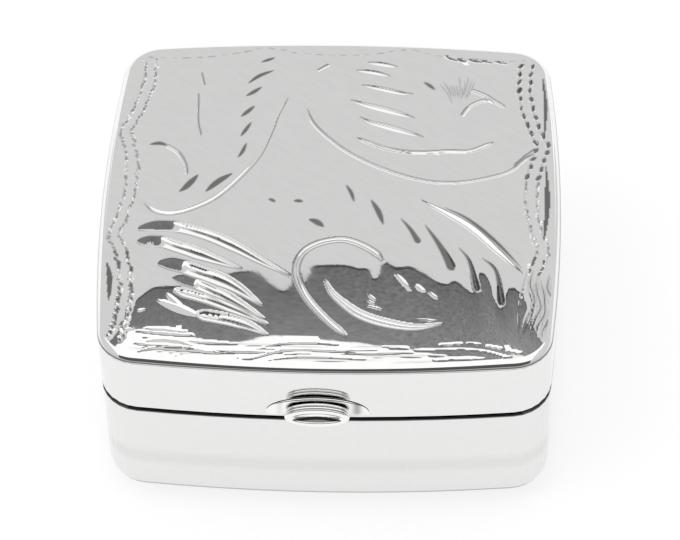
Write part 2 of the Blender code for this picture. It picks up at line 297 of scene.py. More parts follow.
class Relief:
    """The height of the engraved surface over the crown, and its painted shade and tarnish, on a lattice of
    points.
    """

    def __init__(self, xs, ys):
        self.xs, self.ys = xs, ys
        self.depth = np.zeros((len(xs), len(ys)))
        self.shade_and_tarnish = np.zeros((len(xs), len(ys)))

    def window(self, low, high):
        i0, i1 = np.searchsorted(self.xs, [low[0], high[0]])
        j0, j1 = np.searchsorted(self.ys, [low[1], high[1]])
        return slice(max(i0 - 1, 0), i1 + 1), slice(max(j0 - 1, 0), j1 + 1)

    def offsets(self, line, share, reach):
        """For lattice points near the line: the window, signed distance from it, and share of its length."""
        si, sj = self.window(line.min(0) - reach, line.max(0) + reach)
        gx, gy = np.meshgrid(self.xs[si], self.ys[sj], indexing="ij")
        best = np.full(gx.shape, 1e9)
        signed, along = np.zeros(gx.shape), np.zeros(gx.shape)
        for a, b, ta, tb in zip(line, line[1:], share, share[1:]):
            d = b - a
            length2 = float(d @ d)
            px, py = gx - a[0], gy - a[1]
            t = np.clip((px * d[0] + py * d[1]) / length2, 0, 1)
            ox, oy = px - t * d[0], py - t * d[1]
            far = np.hypot(ox, oy)
            nearer = far < best
            best = np.where(nearer, far, best)
            side = np.where(d[0] * py - d[1] * px >= 0, 1.0, -1.0)
            signed = np.where(nearer, side * far, signed)
            along = np.where(nearer, ta + (tb - ta) * t, along)
        return si, sj, signed, along

    def cut(self, points, width, depth, form=lens, dark=0.0):
        """A plain groove with two sloping sides that meet along its middle, and a painted line of shade, with some
        tarnish, along one side.
        """
        line, share = smooth_line(points)
        si, sj, signed, along = self.offsets(line, share, width + SEARCH_REACH)
        size = form(along)
        half = np.maximum(size * width / 2, 1e-6)
        self.lower(si, sj, depth * size * np.clip(1 - np.abs(signed) / half, 0, 1))
        run = (along > 0) & (along < 1)
        self.darken(si, sj, np.where(run, dark * np.minimum(1, size * 1.5) * fine_line(signed - half), 0))

    def lower(self, si, sj, depth):
        self.depth[si, sj] = np.maximum(self.depth[si, sj], depth)

    # Paints shade and tarnish onto the lattice, keeping the darkest amount at each point
    def darken(self, si, sj, amount):
        self.shade_and_tarnish[si, sj] = np.maximum(self.shade_and_tarnish[si, sj], amount)

    def stroke(self, points, width, kind, form):
        """A shaped cut. Its facets are tilted, to the front or to the back, as the kind of cut asks."""
        line, share = smooth_line(points)
        si, sj, signed, along = self.offsets(line, share, width + SEARCH_REACH)
        step = np.gradient(line, axis=0)
        towards_back = np.interp(along, share, step[:, 0] / np.hypot(*step.T))
        size = form(along)
        s = signed / np.maximum(size * width / 2, 1e-6) * np.where(towards_back < 0, -1, 1)
        gx, gy = np.meshgrid(self.xs[si], self.ys[sj], indexing="ij")
        seen = mirrored(gx, gy)[1]
        dark = dark_elevation(gx, gy)
        steepen = 1 / np.maximum(np.abs(towards_back), 0.35)
        half = size * width / 2
        inside = (np.abs(s) < 1) & (along > 0) & (along < 1)

        def tilt(target):
            return np.tan(np.radians(np.clip(abs(target - seen) / 2, LEAST_TILT, MOST_TILT))) * steepen

        def to_front(target):
            return np.minimum(tilt(target) * half * (1 - s), np.maximum(s + 1, 0) * half * 1.4)

        def to_back(target):
            return np.minimum(tilt(target) * half * (1 + s), np.maximum(1 - s, 0) * half * 1.2)

        if kind == "leaf":
            shape = np.minimum(0.008, 0.08 * half * (1 - np.abs(s)))
        elif kind == "feather":
            shape = to_back(LOW_WHITE_AT)
        elif kind == "patch":
            shape = to_back(GREY_AT)
        elif kind == "sliver":
            shape = 0.1 * half * (1 - s**2)
        elif kind == "glint":
            shape = to_front(HIGH_WHITE_AT)
        elif kind == "scroll":
            shape = 0.3 * half * (1 - s**2)
        else:
            ramp = to_back(LOW_WHITE_AT)
            deepest = tilt(LOW_WHITE_AT) * half
            shelf = deepest - tilt(dark) * half * np.clip(s - 0.05, 0, 1) * 1.1
            wall = deepest * np.sqrt(np.clip((1 - s) / 0.3, 0, 1))
            flame = np.minimum(np.minimum(shelf, wall), deepest * (s + 0.95))
            leaf = to_front(dark)
            if kind == "flame":
                shape = leaf + (ramp - leaf) * soft_step(along, 0.2, 0.27)
                shape = shape + (flame - shape) * soft_step(along, 0.38, 0.5)
            elif kind == "wedge":
                shape = ramp + (flame - ramp) * soft_step(along, 0.25, 0.4)
            else:
                shape = flame
        self.lower(si, sj, np.where(inside, np.clip(shape, 0, None), 0))
        far = s * half
        run = (along > 0.01) & (along < 0.99)
        back_edge = np.where(run, fine_line(far - half), 0)
        front_edge = np.where(run, fine_line(far + half), 0)
        # Painted shade: dark lines along the cut's edges, a dark floor in leaves and slivers and a dark core in
        # flames, standing in for mirrored dark, with some tarnish
        shade_and_tarnish = CUT_SHADES.get(kind, 0)
        if kind == "leaf":
            self.darken(si, sj, np.where(run, shade_and_tarnish * np.clip((half - np.abs(signed)) / 0.1 + 0.5, 0, 1), 0))
        elif kind == "sliver":
            self.darken(si, sj, np.where(inside, shade_and_tarnish, 0))
        elif kind == "feather":
            self.darken(si, sj, shade_and_tarnish * back_edge)
        elif shade_and_tarnish:
            self.darken(si, sj, shade_and_tarnish * np.maximum(front_edge, back_edge))
        if kind in ("flame", "wedge"):
            core = np.clip((0.34 - np.abs(s - 0.16)) / 0.14, 0, 1) * soft_step(along, 0.28, 0.36)
            self.darken(si, sj, CORE_SHADE * core * (1 - soft_step(along, 0.72, 0.9)))

    def chip(self, centre, along, length, width, target, dark=0.0):
        """A short S-shaped dent with a flat floor, tilted so that it mirrors the target elevation, with painted
        shade over it.
        """
        across = np.array([-along[1], along[0]])
        reach = np.array([length, length]) * 0.6 + width
        si, sj = self.window(centre - reach, centre + reach)
        gx, gy = np.meshgrid(self.xs[si] - centre[0], self.ys[sj] - centre[1], indexing="ij")
        u = (gx * along[0] + gy * along[1]) / (length / 2)
        v = (gx * across[0] + gy * across[1]) / (width / 2) - DENT_BEND * np.sin(np.pi * np.clip(u, -1, 1))
        q = 1 - np.abs(u) ** 1.5 - np.abs(v) ** 1.7
        angle = (target - float(mirrored(*centre)[1])) / 2
        half_y = math.hypot(length * along[1], width * across[1]) / 2
        floor = 0.004 + math.tan(math.radians(abs(angle))) * (half_y + math.copysign(1, -angle) * gy)
        self.lower(si, sj, np.where(q > 0, np.minimum(floor, q * 0.25), 0))
        self.darken(si, sj, dark * np.clip(q * 3, 0, 1))


# Long hairlines: points, width
HAIRLINES = [
    ([(-4.2, 11.5), (-5, 9.4), (-5.5, 7.1), (-6.4, 4.1), (-7.9, 1.5), (-9.9, -1), (-12, -2.4), (-13.7, -2.9),
      (-15.1, -2.6), (-16.2, -1.5)], 0.26),
    ([(-2.5, 10.1), (-1.9, 8.2), (-0.2, 6), (1.9, 4.1), (4.8, 2.4), (7.7, 1.3), (10.1, 1), (12.7, 1.4),
      (15.4, 2.5), (16.7, 4), (18, 5.4)], 0.26),
    ([(2.1, 6.3), (4.5, 5.1), (7.2, 4.6), (10.1, 4.8), (12.1, 4.9), (14.2, 6.1)], 0.34),
    ([(-14.8, 5.3), (-13.6, 4.3), (-12.9, 2.9), (-12.7, 1.6)], 0.3),
    ([(-12.3, 11.9), (-12.1, 8.2), (-11.7, 6.4)], 0.16),
    ([(-12.2, 14.7), (-11.8, 12.9)], 0.12),
    ([(-1.7, 15.1), (-0.7, 16)], 0.2),
    ([(11.3, 9.2), (11.9, 10.4), (12.9, 11.2), (13.6, 11.3)], 0.3),
    ([(12, 12.7), (13.3, 12), (14.2, 11.2), (15.1, 10.5)], 0.32),
    ([(15.9, 3.3), (17, 4.7), (17.9, 5.7)], 0.14),
]

# Shaped cuts by kind: points, width
LEAVES = [
    ([(-16.2, 5.4), (-15.3, 5.5), (-14.5, 5.2)], 0.42),
    ([(-13.2, -0.4), (-12.6, 0.2), (-11.6, 1.7)], 0.6),
    ([(-10.9, -0.4), (-9.8, 0.9), (-8.6, 1.9)], 0.6),
    ([(-8.3, 3.7), (-7.9, 4.5), (-7.6, 5.6)], 0.34),
    ([(-8.2, 6.3), (-7.8, 7.1), (-7.3, 8.2)], 0.36),
    ([(-8.3, 8.8), (-7.8, 9.4), (-7.1, 10.3)], 0.42),
    ([(-8, 11.5), (-7.4, 12), (-6.6, 12.8)], 0.42),
    ([(-7.9, 13.2), (-6.9, 14.3), (-5.6, 15.1)], 0.42),
    ([(-6.9, 16.2), (-6.3, 16.5), (-5.6, 16.9)], 0.36),
    ([(7.8, 13.7), (8.3, 13.3), (8.9, 12.6)], 0.36),
    ([(-5.4, -1.1), (-5.1, -1.2), (-4.7, -1.5)], 0.32),
    ([(-3.2, -1.3), (-2.7, -1.3), (-2.3, -1.4)], 0.38),
    ([(-1.8, -3.4), (-1.1, -3.7), (-0.4, -4.3)], 0.6),
    ([(1.3, 0.7), (1.8, -0.3), (2.1, -1.4)], 0.34),
    ([(3.5, -1), (4.2, -2.4), (4.7, -4)], 0.5),
    ([(9.8, -1.8), (12, -3.2), (14.4, -5.7), (16.6, -8.5)], 0.34),
]
LONG_LEAVES = [
    ([(6.1, -3.1), (7, -4.4), (7.8, -6)], 0.6),
    ([(8.2, -3.8), (9.4, -5.9), (10.2, -7.6), (10.7, -9)], 0.8),
    ([(11.1, -6.3), (12.1, -7.9), (12.8, -11.2)], 0.6),
    ([(13.1, -7.4), (14.4, -9), (14.9, -12.6)], 0.6),
]
FEATHERS = [
    ([(2.7, 16.3), (4, 16.1), (5.5, 15.7)], 0.5),
    ([(1.7, 15.2), (3.4, 14.9), (4.9, 14.4)], 0.5),
    ([(2.2, 13.2), (4, 12.7), (6, 12.1), (7, 12.1)], 0.52),
    ([(1.3, 11.2), (2.8, 10.5), (4.5, 9.9), (7.2, 8.9)], 0.64),
    ([(2.2, 9), (3.2, 8.3), (4.5, 7.8), (8, 6.5)], 0.6),
    ([(2, 6.4), (3.4, 5.6), (5, 4.9), (7, 4.55)], 0.46),
    ([(13.2, 11.7), (13.7, 11.3), (14.1, 10.9)], 0.4),
]
SCROLLS = [
    ([(1.9, -16), (0.1, -14.3), (-1.7, -11.9), (-2.6, -9.4), (-2.2, -7.4), (-0.9, -6.2), (1.1, -5.7),
      (2.7, -6.2), (4.1, -7.2), (4.8, -8.2)], 0.56),
]
FLAMES = [
    ([(-16.6, -4.6), (-14.9, -4.3), (-12.9, -4.5), (-10.5, -5.3), (-7.9, -6.7), (-5.5, -8.3), (-2.9, -9.9)],
     1.15),
    ([(-16.5, -6), (-14.5, -6.1), (-13.1, -6.6), (-10.8, -7.6), (-7.1, -9.2)], 1.2),
    ([(-14.5, -8.5), (-12.9, -8.7), (-11.1, -9.4), (-8.1, -10.8), (-5.3, -13)], 1.35),
    ([(-13, -10.1), (-11.1, -10.7), (-8.7, -12), (-5, -14.4)], 1.1),
]
WEDGES = [
    ([(-12.9, -11.4), (-10.1, -12.3), (-7.6, -13.4), (-4.6, -15)], 0.95),
    ([(-10.9, -13.9), (-8.9, -14.3), (-6.8, -14.9), (-4.7, -16)], 1.1),
]
PATCHES = [
    ([(-14.3, -12.5), (-12.6, -13.3), (-10.6, -14.2)], 0.8),
    ([(-13.6, -11.7), (-12.9, -12.6), (-11.8, -13.6)], 0.5),
]
CRESCENTS = [
    ([(-0.2, -10), (0.5, -11.5), (1.6, -12.7), (3, -13.8), (5.1, -14.6), (7.7, -15), (10.2, -14.5)], 0.8),
]
GLINTS = [
    ([(7.5, -0.8), (11.8, -3.8), (14.3, -6.5), (16.7, -9.2)], 0.6),
    ([(5.8, -9.3), (6.4, -10), (7.1, -11)], 0.34),
    ([(7.6, -10.4), (8, -10.9), (8.5, -11.3)], 0.36),
    ([(8.6, -11.2), (9.1, -11.6), (9.6, -12.1)], 0.24),
    ([(3.4, -11.4), (3.9, -11.9), (4.5, -12.5)], 0.2),
    ([(3.3, -12.1), (3.8, -12.4), (4.5, -12.8)], 0.2),
    ([(3.2, -12.8), (4, -12.9), (5, -13.3)], 0.22),
    ([(7.3, -14.2), (8.5, -14.2), (9.6, -14.3)], 0.2),
    ([(-15.9, -13.6), (-15.5, -13.5), (-15.1, -13.55)], 0.2),
]
SLIVERS = [
    ([(18.5, 14.7), (18.7, 11), (18.6, 7.2)], 0.3),
    ([(18.7, 3.8), (18.8, -0.5), (18.5, -5)], 0.45),
    ([(-18.9, -8), (-18.5, -10), (-18.4, -12.4)], 0.5),
]

# The front border's broad grey waves and, on the dark at the right, its pale broken lines: points, width
FRONT_WAVES = [
    ([(-15.6, -16.9), (-14, -16.6), (-12.4, -16.7), (-11.2, -17.1), (-9.4, -17.7)], 0.5),
    ([(-15.8, -17.8), (-13.7, -17.3), (-11.6, -17.3), (-9.9, -17.7), (-8.2, -17.9)], 0.42),
    ([(-16, -18.3), (-13.6, -18.15), (-12, -18.25), (-10.3, -18.45)], 0.3),
    ([(-6.4, -17.9), (-4.5, -17), (-2.8, -16.7), (-0.3, -16.7), (1.8, -16.9)], 0.26),
    ([(-7.8, -18.1), (-6.1, -18.3), (-4, -17.6), (-2, -17.35), (1, -17.4), (4, -17.7)], 0.3),
    ([(-5.3, -18.55), (-2.8, -18.15), (-1.1, -18.05), (1.8, -18.15), (4.6, -18.3)], 0.24),
]
FRONT_LINES = [
    ([(9.6, -16.7), (10.6, -16.6), (11.6, -16.5)], 0.26),
    ([(11.9, -16.5), (12.6, -16.5), (13.2, -16.6)], 0.2),
    ([(13.6, -16.7), (14.4, -16.85), (15, -17)], 0.26),
    ([(15.3, -17.1), (15.9, -17.25), (16.6, -17.4)], 0.22),
    ([(7.5, -17.3), (10.3, -17.15), (11.8, -17.1), (13.7, -17.3), (15.3, -17.8), (16.6, -18.1)], 0.2),
    ([(9.2, -18.2), (10.8, -18.05), (12.7, -18), (14.3, -18.25)], 0.26),
    ([(5.4, -17.1), (6.2, -17), (7.1, -17.1)], 0.2),
]

# The border's scallops on each side: where the first cusp is along the side, and how far apart they are
SCALLOPS = {"left": (-4.8, 12.1), "right": (-6.4, 12.3), "back": (-6.5, 12.8), "front": (-7.6, 14.2)}
BORDER_LINES = (0.75, 1.75)
SCALLOP_DEPTH = 1.35
DENT_STEP = 1.12
DENT_LEAN = 20
# Where the dents change along the border, as places on the lid
BROAD_DENTS_Y = 2
BOLD_DENTS_Y = -7
CHAIN_ENDS_Y = -9.5
MIRROR_TURNS_Y = -10
LONG_DENTS_X = (9.5, 15)
# The front border's streaks: their insets, their swing with the scallops, and where the broad ones end
STREAK_LINES = np.arange(0.55, 2.9, 0.3)
STREAK_SWING = 0.5
LEFT_PART_X = 1


def border_point(side, t, inset):
    """A point on a side of the outline at an inset. t runs from -1 to 1 along the side."""
    if side in ("left", "right"):
        y = t * (HALF_DEPTH - CORNER_REACH)
        x = SIDE_CENTRE[0] + math.sqrt((SIDE_RADIUS - inset) ** 2 - y**2)
        return np.array([-x if side == "left" else x, y])
    x = t * (HALF_WIDTH - CORNER_REACH)
    y = BACK_CENTRE[1] + math.sqrt((BACK_RADIUS - inset) ** 2 - x**2)
    return np.array([x, -y if side == "front" else y])


def scallop(side, t):
    """How far the border swings in at t along a side: nothing at a cusp, and 1 half-way to the next."""
    cusp, apart = SCALLOPS[side]
    half = (HALF_DEPTH if side in ("left", "right") else HALF_WIDTH) - CORNER_REACH
    return abs(math.sin(math.pi * (t * half - cusp) / apart))


def border_path(side, line):
    points = [
        border_point(side, t, line + SCALLOP_DEPTH * scallop(side, t) ** 0.75) for t in np.linspace(-1, 1, 90)
    ]
    return smooth_line(points, DENT_STEP)[0]


def turned(direction, angle):
    x, y = direction
    return np.array([x * math.cos(angle) - y * math.sin(angle), x * math.sin(angle) + y * math.cos(angle)])


def chain(relief, side, path, rng):
    """A line of the border: a fine line under a row of small leaning dents, as a rocked graver leaves, with
    painted shade on the line and on some dents.
    """
    if side != "back":
        relief.cut(path, 0.1, 0.012, even, 0.28)
    for a, b in zip(path, path[1:]):
        along = (b - a) / np.linalg.norm(b - a)
        leaning = turned(along, math.radians(DENT_LEAN + rng.normal(0, 9)) * (1 if side == "left" else -1))
        centre = (a + b) / 2 + rng.normal(0, 0.05, 2)
        x, y = centre
        dark, white = float(dark_elevation(x, y)), LOW_WHITE_AT
        if y < MIRROR_TURNS_Y:
            dark, white = DENT_GREY_AT, HIGH_WHITE_AT
        if side == "right" and y < CHAIN_ENDS_Y:
            continue
        if side == "right" and y > BROAD_DENTS_Y:
            relief.chip(centre, leaning, 0.92 + rng.normal(0, 0.12), 0.42 + rng.normal(0, 0.06), dark, 0.75)
        elif side == "back" and LONG_DENTS_X[0] < x < LONG_DENTS_X[1]:
            relief.chip(centre, leaning, 1.35 + rng.normal(0, 0.2), 0.34 + rng.normal(0, 0.08), dark, 0.7)
        elif side == "back":
            half = along * (0.2 + 0.25 * rng.random())
            relief.cut([centre - half, centre, centre + half], 0.16, 0.008, lens, 0.15 + 0.45 * rng.random())
        else:
            for k in (0.17, 0.5, 0.83):
                place = a + (b - a) * k + rng.normal(0, 0.07, 2)
                size = 1.3 if y < BOLD_DENTS_Y else 1.0
                # Some dents get painted shade, heavier low on the border
                if rng.random() < 0.55:
                    shade_and_tarnish = 0.55 if y > BOLD_DENTS_Y else 0.8
                    relief.chip(place, leaning, 0.5 * size, 0.2 * size, dark, shade_and_tarnish)
                else:
                    relief.chip(place, leaning, 0.5 * size, 0.24 * size, white)


def front_streaks(relief, rng):
    """The front border's long wavering streaks that follow the edge."""
    for line in STREAK_LINES:
        t = -0.97 + 0.1 * rng.random()
        while t < 0.93:
            reach = 0.22 + 0.4 * rng.random()
            swing = STREAK_SWING * scallop("front", t)
            points = [
                border_point("front", at, line + swing + rng.normal(0, 0.03))
                for at in np.linspace(t, min(t + reach, 0.96), 5)
            ]
            middle = points[2]
            left = middle[0] < LEFT_PART_X
            if float(mirrored(*middle)[1]) > dark_edges(*middle)[1]:
                if rng.random() < (0.62 if left else 0.3):
                    relief.stroke(points, 0.2 + (0.28 if left else 0.08) * rng.random(), "patch", lens)
                elif rng.random() < 0.5:
                    # A fine cut with a painted line of shade
                    relief.cut(points, 0.1, 0.01, lens, 0.35)
            t += reach + 0.05 * rng.random()


def corner_waves(relief, rng):
    """Fine wavy lines down the lower right border, with painted shade dark and faint by turns."""
    for k, line in enumerate(np.arange(0.5, 2.6, 0.24)):
        points = [
            border_point("right", t, line + 0.24 * math.sin(t * 19) + 0.05 * math.sin(t * 41 + 2 * k))
            for t in np.linspace(-0.5 - 0.1 * rng.random(), -0.95, 14)
        ]
        relief.cut(points, 0.12 + 0.08 * rng.random(), 0.02, lens, 0.9 if k % 2 else 0.25)


STROKES = [
    ("leaf", lens, LEAVES), ("leaf", swell, LONG_LEAVES), ("feather", lens, FEATHERS),
    ("scroll", even, SCROLLS), ("flame", flare, FLAMES), ("crescent", lens, CRESCENTS),
    ("wedge", flare, WEDGES), ("patch", lens, PATCHES), ("sliver", lens, SLIVERS),
    ("glint", lens, GLINTS), ("patch", lens, FRONT_WAVES), ("glint", even, FRONT_LINES),
]


def engrave(relief):
    for points, width in HAIRLINES:
        # Each hairline gets a painted line of shade along one side
        relief.cut(points, width + 0.04, width * 0.4, even, 0.85)
    for kind, form, strokes in STROKES:
        for points, width in strokes:
            relief.stroke(points, width, kind, form)
    rng = np.random.default_rng(7)
    for side in ("left", "right", "back"):
        for line in BORDER_LINES if side != "back" else BORDER_LINES[:1]:
            chain(relief, side, border_path(side, line), rng)
    front_streaks(relief, rng)
    corner_waves(relief, rng)
    shading(relief, rng)


def shading(relief, rng):
    """Fine scratches in the upper right, with painted lines of shade, and plain ones beside the long straight cut.
    """
    for k in range(12):
        top = np.array([9.3 + k * 0.28, 13 + 1.9 * rng.random()])
        foot = np.array([11, 9.6]) + (top - [11, 9.6]) * (0.3 + 0.3 * rng.random())
        relief.cut([top, (top + foot) / 2 + [0.05, 0], foot], 0.1, 0.012, lens, 0.4)
    for k in range(14):
        start = np.array([9.5 + k * 0.55, -1.2 - k * 0.5 + rng.random() * 0.4])
        relief.cut([start, start + [2.2, -1.5]], 0.1, 0.012, lens)


# ---- meshes


SHARP_ANGLE = 50


def add_object(name, data):
    piece = bpy.data.objects.new(name, data)
    bpy.context.scene.collection.objects.link(piece)
    return piece


def new_mesh(name, points, faces, material):
    mesh = bpy.data.meshes.new(name)
    mesh.from_pydata([tuple(p) for p in np.asarray(points) * MM], [], faces)
    mesh.update()
    mesh.shade_smooth()
    mesh.set_sharp_from_angle(angle=math.radians(SHARP_ANGLE))
    mesh.materials.append(material)
    return add_object(name, mesh)


def add_attribute(mesh, name, values):
    mesh.attributes.new(name, "FLOAT", "POINT").data.foreach_set("value", np.array(values, np.float32))


# The lattice's cell where the lid is plain, and how many fine cells go along it where it is cut
CELL = 0.5
FINE = 5
EDGE_INSET = 0.62
# The least depth and painted shade that count as cut
LEAST_CUT = 1e-4
LEAST_SHADE = 0.01
# The plain inner face: how many spokes it has, and its rings as shares of the distance from the middle
SPOKES = 96
INNER_SHARES = [*(1 - k / 9 for k in range(1, 9)), 0.04]
# Round the rolled edge, in degrees from level: how far each ring is turned, and how dark the painted reflection on
# it is
ROLL_SHADE = [
    (0, 0), (14, 0), (28, 0), (41, 0), (52, 0.1), (62, 0.4), (70, 0.85), (78, 0.9), (84, 0.15), (90, 0),
]


def lattice_faces(inside, cut, cells_x, cells_y):
    """The lattice's faces: fine ones where it is cut or meets the edge, and one a cell elsewhere."""
    fine = np.zeros((cells_x, cells_y), bool)
    whole = np.zeros((cells_x, cells_y), bool)
    for i in range(cells_x):
        for j in range(cells_y):
            block = (slice(i * FINE, i * FINE + FINE + 1), slice(j * FINE, j * FINE + FINE + 1))
            whole[i, j] = inside[block].all()
            fine[i, j] = inside[block].any() and (cut[block].any() or not whole[i, j])
    faces = []

    def at(i, j):
        return i * inside.shape[1] + j

    def steps(i, j):
        """The points that a plain cell's side takes from the cell beyond it."""
        beyond = 0 <= i < cells_x and 0 <= j < cells_y and fine[i, j]
        return range(FINE if beyond else 1)

    for i in range(cells_x):
        for j in range(cells_y):
            i0, j0 = i * FINE, j * FINE
            if fine[i, j]:
                for a in range(i0, i0 + FINE):
                    for b in range(j0, j0 + FINE):
                        if inside[a : a + 2, b : b + 2].all():
                            faces.append((at(a, b), at(a + 1, b), at(a + 1, b + 1), at(a, b + 1)))
            elif whole[i, j]:
                loop = [at(i0 + s, j0) for s in steps(i, j - 1)]
                loop += [at(i0 + FINE, j0 + s) for s in steps(i + 1, j)]
                loop += [at(i0 + FINE - s, j0 + FINE) for s in steps(i, j + 1)]
                loop += [at(i0, j0 + FINE - s) for s in steps(i - 1, j)]
                faces.append(tuple(loop))
    return faces


def open_edge(faces):
    """The points round the faces' outer edge, in order."""
    sides = {}
    for face in faces:
        for a, b in zip(face, face[1:] + face[:1]):
            if (b, a) in sides:
                del sides[(b, a)]
            else:
                sides[(a, b)] = True
    after = {a: b for a, b in sides}
    loop = [next(iter(after))]
    while after[loop[-1]] != loop[0]:
        loop.append(after[loop[-1]])
    return loop


def inner_face(last, ring, total):
    """The plain inner face inside the last ring: its rings of points, and its faces."""
    angles = np.arctan2(last[:, 1], last[:, 0])
    size = len(ring)
    keep = set()
    for a in np.linspace(-np.pi, np.pi, SPOKES + 1)[:-1]:
        keep.add(int(np.argmin(np.abs(np.angle(np.exp(1j * (angles - a)))))))
    keep = sorted(keep)
    count = len(keep)
    points, faces = [], []
    for share in INNER_SHARES:
        xy = last[keep, :2] * share
        points.append(np.column_stack([xy, INNER_Z + crown(xy[:, 0], xy[:, 1])]))
    rings = [list(range(total + k * count, total + (k + 1) * count)) for k in range(len(INNER_SHARES))]
    for k in range(count):
        n = (k + 1) % count
        first, second = keep[k], keep[n]
        span = [ring[m % size] for m in range(first, (second if second > first else second + size) + 1)]
        faces.append((rings[0][k], rings[0][n], *span[::-1]))
        for a, b in zip(rings, rings[1:]):
            faces.append((a[n], a[k], b[k], b[n]))
    faces.append(tuple(rings[-1][::-1]))
    return points, faces


def engraved_top(material):
    """The lid's top: a lattice that is fine where it is cut, its rolled edge, and a plain underside."""
    count_x = int(HALF_WIDTH / CELL) + 1
    count_y = int(HALF_DEPTH / CELL) + 1
    xs = np.arange(-count_x * FINE, count_x * FINE + 1) * (CELL / FINE)
    ys = np.arange(-count_y * FINE, count_y * FINE + 1) * (CELL / FINE)
    relief = Relief(xs, ys)
    engrave(relief)
    gx, gy = np.meshgrid(xs, ys, indexing="ij")
    inset, out_x, out_y = inset_and_outward(gx, gy)
    cut = (relief.depth > LEAST_CUT) | (relief.shade_and_tarnish > LEAST_SHADE)
    faces = lattice_faces(inset >= EDGE_INSET - 1e-6, cut, 2 * count_x, 2 * count_y)

    # the lattice's own edge is moved to an even inset, and isn't cut
    loop = open_edge(faces)
    edge = np.array(loop)
    px, py, depth = gx.ravel(), gy.ravel(), relief.depth.ravel().copy()
    move = inset.ravel()[edge] - EDGE_INSET
    px[edge] += out_x.ravel()[edge] * move
    py[edge] += out_y.ravel()[edge] * move
    depth[edge] = 0
    inset, out_x, out_y = inset_and_outward(px, py)
    points = np.stack([px, py, ROLL_Z + crown(px, py) + rolled(inset, LID_ROLL) - depth], 1)
    used = np.zeros(len(points), bool)
    for face in faces:
        used[list(face)] = True
    index = np.cumsum(used) - 1
    faces = [tuple(int(index[v]) for v in face) for face in faces]
    edge_out = np.stack([out_x[edge], out_y[edge]], 1)
    edge_at = points[edge, :2]
    all_points = [points[used]]

    # the roll, then the rim's underside and the plain inner face
    rings = [(LID_ROLL * (1 - math.sin(math.radians(turn))), None) for turn, _ in ROLL_SHADE]
    rings += [(SHEET + JOINT_GAP, ROLL_Z), (SHEET + JOINT_GAP, INNER_Z)]
    ring = [int(index[v]) for v in loop]
    total, size = len(all_points[0]), len(loop)
    for d, z in rings:
        xy = edge_at + edge_out * (EDGE_INSET - d)
        if z is None:
            z = ROLL_Z + crown(xy[:, 0], xy[:, 1]) * min(1, d / LID_ROLL) + rolled(np.full(size, d), LID_ROLL)
        all_points.append(np.column_stack([xy, np.broadcast_to(z, size)]))
        new_ring = list(range(total, total + size))
        for k in range(size):
            n = (k + 1) % size
            faces.append((ring[n], ring[k], new_ring[k], new_ring[n]))
        ring = new_ring
        total += size
    inner_points, inner_faces = inner_face(all_points[-1], ring, total)
    all_points += inner_points
    piece = new_mesh("lid_top_engraved", np.concatenate(all_points), faces + inner_faces, material)
    plain = sum(len(part) for part in all_points[len(ROLL_SHADE) + 1 :])
    # The roll's rings carry its painted dark reflection, after the lattice's painted shade and tarnish
    roll = np.repeat([amount for _, amount in ROLL_SHADE], size)
    add_attribute(piece.data, "painted_shade_and_tarnish", np.concatenate([relief.shade_and_tarnish.ravel()[used], roll, np.zeros(plain)]))
    return piece


# ---- the thumbpiece

BUTTON_LOW, BUTTON_HIGH = node_box("thumb_button")
PLATE_LOW, PLATE_HIGH = node_box("thumb_plate")
THUMB_CENTRE_X, _, BUTTON_CENTRE_Z = (BUTTON_LOW + BUTTON_HIGH) / 2
BUTTON_HALF_WIDTH, _, BUTTON_HALF_HEIGHT = (BUTTON_HIGH - BUTTON_LOW) / 2
NECK_HALF_WIDTH = 1.65
NECK_HALF_HEIGHT = 0.68
# The head's moulding as (distance from the wall, inset): two beads, a step and a broad front ring
MOULDING = [
    (0.49, 0.3), (0.49, 0.1), (0.53, 0.03), (0.6, 0), (0.67, 0.02), (0.72, 0.08), (0.75, 0.16), (0.8, 0.17),
    (0.83, 0.09), (0.88, 0.03), (0.95, 0.02), (1.02, 0.07), (1.05, 0.14), (1.09, 0.15), (1.12, 0.1),
    (1.17, 0.07), (1.22, 0.1), (1.255, 0.18), (1.27, 0.28), (1.27, 0.4), (1.26, 0.52), (1.235, 0.59), (1.19, 0.62),
]
DISH_DEPTH = 0.45
DISH_SHARES = (0.94, 0.87, 0.79, 0.7, 0.6, 0.5, 0.4, 0.3, 0.2, 0.1, 0.03)
# The painted shade of the neck, how far out the grooves are painted darker, and the painted shade in the dish,
# which lies below a plane that slopes down into it and ends short of its sides
NECK_SHADE = 0.6
LAST_GROOVE = 1.12
DISH_SHADE = 0.8
DISH_SHADE_TOP = 0.22
DISH_SHADE_SLOPE = 1.138
DISH_SHADE_HALF_WIDTH = 1.95
OVAL_SIDES = 72
# The flange: its foot and its arch's tips over the plate's low edge, its dome as (share, stand-out)
FLANGE_FOOT = 0.33
FLANGE_TIP = 0.6
FLANGE_DOME = [
    (1, 0.05), (1, 0.07), (0.98, 0.11), (0.95, 0.145), (0.91, 0.175), (0.86, 0.2), (0.8, 0.22), (0.74, 0.235),
    (0.68, 0.245), (0.62, 0.25), (0.5, 0.25), (0.25, 0.25), (0.03, 0.25),
]


def ring_faces(count, size):
    faces = [
        (k * size + i, k * size + (i + 1) % size, (k + 1) * size + (i + 1) % size, (k + 1) * size + i)
        for k in range(count - 1)
        for i in range(size)
    ]
    return [tuple(range(size))[::-1], *faces, tuple(range((count - 1) * size, count * size))]


